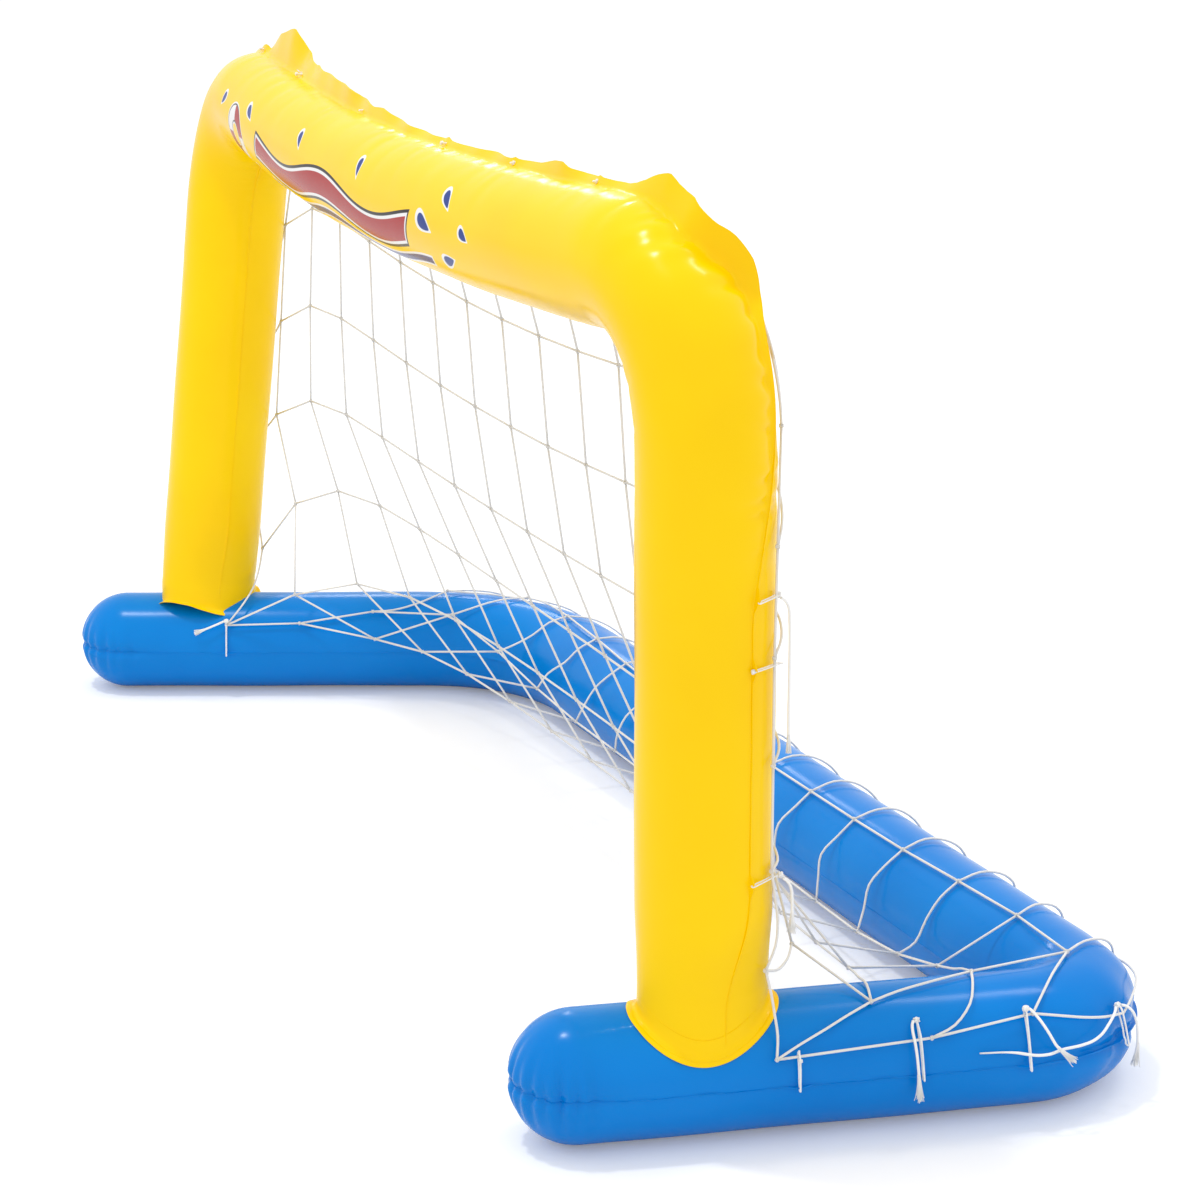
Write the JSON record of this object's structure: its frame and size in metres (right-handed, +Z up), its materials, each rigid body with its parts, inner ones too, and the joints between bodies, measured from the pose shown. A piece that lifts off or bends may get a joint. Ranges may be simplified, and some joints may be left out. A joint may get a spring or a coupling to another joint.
{
  "type": "water polo goal",
  "caption": "Inflatable pool goal: a yellow tube arch standing on a blue U-shaped tube base, with a knotted cord net tied to the weld fins and push-in inflation valves.",
  "frame": {"origin": "on the floor, under the middle of the goal's outline, its free tie ends left aside", "axes": "+X to the near post, +Y from the mouth to the back bar, +Z up; the mouth faces -Y"},
  "size_m": [1.5037, 0.5662, 0.7539],
  "materials": {
    "yellow_film": "glossy welded PVC film",
    "blue_film": "glossy welded PVC film",
    "clear_vinyl": "milky soft vinyl",
    "net_cord": "thin white twine",
    "tie_cord": "white braided string"
  },
  "bodies": {
    "goal": {"arch_front_sheet": "yellow_film", "arch_rear_sheet": "yellow_film", "arch_valve_flange": "clear_vinyl", "base_bottom_sheet": "blue_film", "base_top_sheet": "blue_film", "base_valve_flange": "clear_vinyl", "crossbar_tie_1": "tie_cord", "crossbar_tie_2": "tie_cord", "crossbar_tie_3": "tie_cord", "crossbar_tie_4": "tie_cord", "crossbar_tie_5": "tie_cord", "crossbar_tie_6": "tie_cord", "left_foot_tail": "tie_cord", "left_foot_tie": "tie_cord", "left_post_collar": "yellow_film", "left_post_tie_1": "tie_cord", "left_post_tie_2": "tie_cord", "left_post_tie_3": "tie_cord", "net_apron": "net_cord", "net_curtain_left": "net_cord", "net_curtain_middle": "net_cord", "net_curtain_right": "net_cord", "net_head_strip": "net_cord", "net_left_wing": "net_cord", "net_right_wing": "net_cord", "rear_tie_1": "tie_cord", "rear_tie_2": "tie_cord", "rear_tie_3": "tie_cord", "rear_tie_4": "tie_cord", "right_arm_front_tail": "tie_cord", "right_arm_rear_tail": "tie_cord", "right_arm_tie_1": "tie_cord", "right_arm_tie_2": "tie_cord", "right_arm_tie_3": "tie_cord", "right_corner_long_tail": "tie_cord", "right_corner_tail": "tie_cord", "right_foot_tie": "tie_cord", "right_post_collar": "yellow_film", "right_post_lower_tail": "tie_cord", "right_post_tie_1": "tie_cord", "right_post_tie_2": "tie_cord", "right_post_tie_3": "tie_cord", "right_post_upper_tail": "tie_cord"},
    "arch_valve_stem": {"arch_valve_stem": "clear_vinyl"},
    "arch_valve_plug": {"arch_valve_plug": "clear_vinyl"},
    "arch_valve_flap": {"arch_valve_flap": "clear_vinyl"},
    "base_valve_stem": {"base_valve_stem": "clear_vinyl"},
    "base_valve_plug": {"base_valve_plug": "clear_vinyl"},
    "base_valve_flap": {"base_valve_flap": "clear_vinyl"}
  },
  "joints": [
    {"name": "arch_valve_push_in", "type": "slide", "parent": "goal", "child": "arch_valve_stem", "axis": [0.866, -0.4999, -0.0096], "range_m": [0, 0.0065]},
    {"name": "arch_valve_plug_pull", "type": "slide", "parent": "arch_valve_stem", "child": "arch_valve_plug", "axis": [-0.866, 0.4999, 0.0096], "range_m": [0, 0.012]},
    {"name": "arch_valve_flap_swing", "type": "hinge", "parent": "arch_valve_stem", "child": "arch_valve_flap", "pos_m": [0.59247, -0.10886, 0.30037], "axis": [-0.0056, 0.0096, -0.9999], "range_deg": [0, 60], "stiffness_Nm_per_rad": 0.0005},
    {"name": "base_valve_push_in", "type": "slide", "parent": "goal", "child": "base_valve_stem", "axis": [0.7918, -0.3504, -0.5002], "range_m": [0, 0.0065]},
    {"name": "base_valve_plug_pull", "type": "slide", "parent": "base_valve_stem", "child": "base_valve_plug", "axis": [-0.7918, 0.3504, 0.5002], "range_m": [0, 0.012]},
    {"name": "base_valve_flap_swing", "type": "hinge", "parent": "base_valve_stem", "child": "base_valve_flap", "pos_m": [-0.63105, 0.01024, 0.0737], "axis": [-0.2933, 0.5002, -0.8147], "range_deg": [0, 60], "stiffness_Nm_per_rad": 0.0005}
  ]
}
